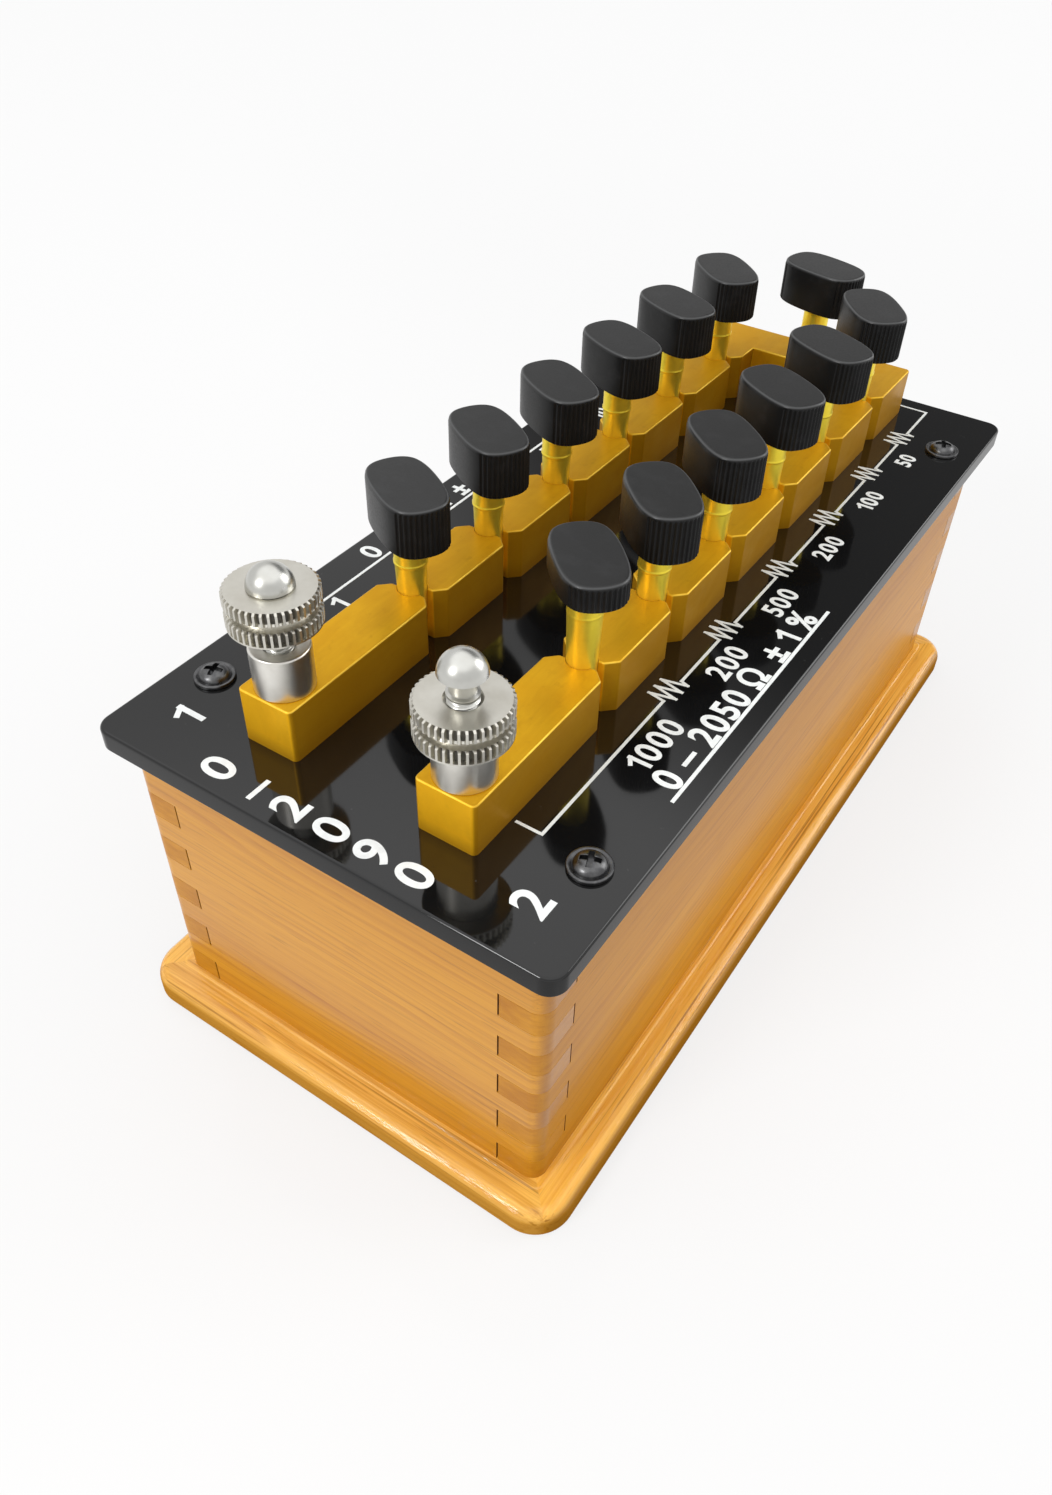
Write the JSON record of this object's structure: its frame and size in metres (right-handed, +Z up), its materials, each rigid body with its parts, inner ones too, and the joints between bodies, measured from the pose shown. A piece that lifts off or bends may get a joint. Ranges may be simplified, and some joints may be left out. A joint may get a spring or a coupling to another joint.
{
  "type": "plug resistance box",
  "caption": "Wooden plug resistance box: black top panel with rows of brass contact blocks, lift-out tapered plugs and knurled screw terminals, coils hung inside.",
  "frame": {"origin": "middle of the base board's underside", "axes": "+X to the right seen from the terminals, +Y from the terminals towards the rear bridge, +Z up"},
  "size_m": [0.1176, 0.2416, 0.1244],
  "materials": {
    "case_wood": "varnished",
    "base_wood": "varnished",
    "panel_black": "polished",
    "screw_black": "satin",
    "brass_block": "polished",
    "brass_pin": "polished",
    "cap_black": "moulded",
    "nickel": "nickel plate",
    "steel": "plain",
    "bobbin_wood": "waxed",
    "winding_silk": "silk covered",
    "lead_copper": "bare wire"
  },
  "bodies": {
    "case": {"front_wall": "case_wood", "rear_wall": "case_wood", "left_wall": "case_wood", "right_wall": "case_wood", "base_board": "base_wood", "top_panel": "panel_black", "panel_screws": "screw_black", "left_terminal_block": "brass_block", "right_terminal_block": "brass_block", "left_block_1": "brass_block", "left_block_2": "brass_block", "left_block_3": "brass_block", "left_block_4": "brass_block", "left_block_5": "brass_block", "right_block_1": "brass_block", "right_block_2": "brass_block", "right_block_3": "brass_block", "right_block_4": "brass_block", "right_block_5": "brass_block", "left_corner_block": "brass_block", "right_corner_block": "brass_block", "left_collar": "nickel", "right_collar": "nickel", "left_stud": "nickel", "right_stud": "nickel", "block_screws": "steel", "bobbin_screws": "steel", "base_screws": "steel", "stud_nuts": "steel", "coil_bobbins": "bobbin_wood", "coil_windings": "winding_silk", "coil_leads": "lead_copper"},
    "left_plug_1": {"left_plug_pin_1": "brass_pin", "left_plug_cap_1": "cap_black"},
    "left_plug_2": {"left_plug_pin_2": "brass_pin", "left_plug_cap_2": "cap_black"},
    "left_plug_3": {"left_plug_pin_3": "brass_pin", "left_plug_cap_3": "cap_black"},
    "left_plug_4": {"left_plug_pin_4": "brass_pin", "left_plug_cap_4": "cap_black"},
    "left_plug_5": {"left_plug_pin_5": "brass_pin", "left_plug_cap_5": "cap_black"},
    "left_plug_6": {"left_plug_pin_6": "brass_pin", "left_plug_cap_6": "cap_black"},
    "right_plug_1": {"right_plug_pin_1": "brass_pin", "right_plug_cap_1": "cap_black"},
    "right_plug_2": {"right_plug_pin_2": "brass_pin", "right_plug_cap_2": "cap_black"},
    "right_plug_3": {"right_plug_pin_3": "brass_pin", "right_plug_cap_3": "cap_black"},
    "right_plug_4": {"right_plug_pin_4": "brass_pin", "right_plug_cap_4": "cap_black"},
    "right_plug_5": {"right_plug_pin_5": "brass_pin", "right_plug_cap_5": "cap_black"},
    "right_plug_6": {"right_plug_pin_6": "brass_pin", "right_plug_cap_6": "cap_black"},
    "rear_plug": {"rear_plug_pin": "brass_pin", "rear_plug_cap": "cap_black"},
    "left_nut": {"left_thumb_nut": "nickel"},
    "right_nut": {"right_thumb_nut": "nickel"}
  },
  "joints": [
    {"name": "left_plug_1_lift", "type": "slide", "parent": "case", "child": "left_plug_1", "axis": [0, 0, 1], "range_m": [0, 0.016]},
    {"name": "left_plug_2_lift", "type": "slide", "parent": "case", "child": "left_plug_2", "axis": [0, 0, 1], "range_m": [0, 0.016]},
    {"name": "left_plug_3_lift", "type": "slide", "parent": "case", "child": "left_plug_3", "axis": [0, 0, 1], "range_m": [0, 0.016]},
    {"name": "left_plug_4_lift", "type": "slide", "parent": "case", "child": "left_plug_4", "axis": [0, 0, 1], "range_m": [0, 0.016]},
    {"name": "left_plug_5_lift", "type": "slide", "parent": "case", "child": "left_plug_5", "axis": [0, 0, 1], "range_m": [0, 0.016]},
    {"name": "left_plug_6_lift", "type": "slide", "parent": "case", "child": "left_plug_6", "axis": [0, 0, 1], "range_m": [0, 0.016]},
    {"name": "right_plug_1_lift", "type": "slide", "parent": "case", "child": "right_plug_1", "axis": [0, 0, 1], "range_m": [0, 0.016]},
    {"name": "right_plug_2_lift", "type": "slide", "parent": "case", "child": "right_plug_2", "axis": [0, 0, 1], "range_m": [0, 0.016]},
    {"name": "right_plug_3_lift", "type": "slide", "parent": "case", "child": "right_plug_3", "axis": [0, 0, 1], "range_m": [0, 0.016]},
    {"name": "right_plug_4_lift", "type": "slide", "parent": "case", "child": "right_plug_4", "axis": [0, 0, 1], "range_m": [0, 0.016]},
    {"name": "right_plug_5_lift", "type": "slide", "parent": "case", "child": "right_plug_5", "axis": [0, 0, 1], "range_m": [0, 0.016]},
    {"name": "right_plug_6_lift", "type": "slide", "parent": "case", "child": "right_plug_6", "axis": [0, 0, 1], "range_m": [0, 0.016]},
    {"name": "rear_plug_lift", "type": "slide", "parent": "case", "child": "rear_plug", "axis": [0, 0, 1], "range_m": [0, 0.016]},
    {"name": "left_nut_screw", "type": "slide", "parent": "case", "child": "left_nut", "axis": [0, 0, 1], "range_m": [-0.0052, 0]},
    {"name": "right_nut_screw", "type": "slide", "parent": "case", "child": "right_nut", "axis": [0, 0, 1], "range_m": [0, 0.0052]}
  ]
}
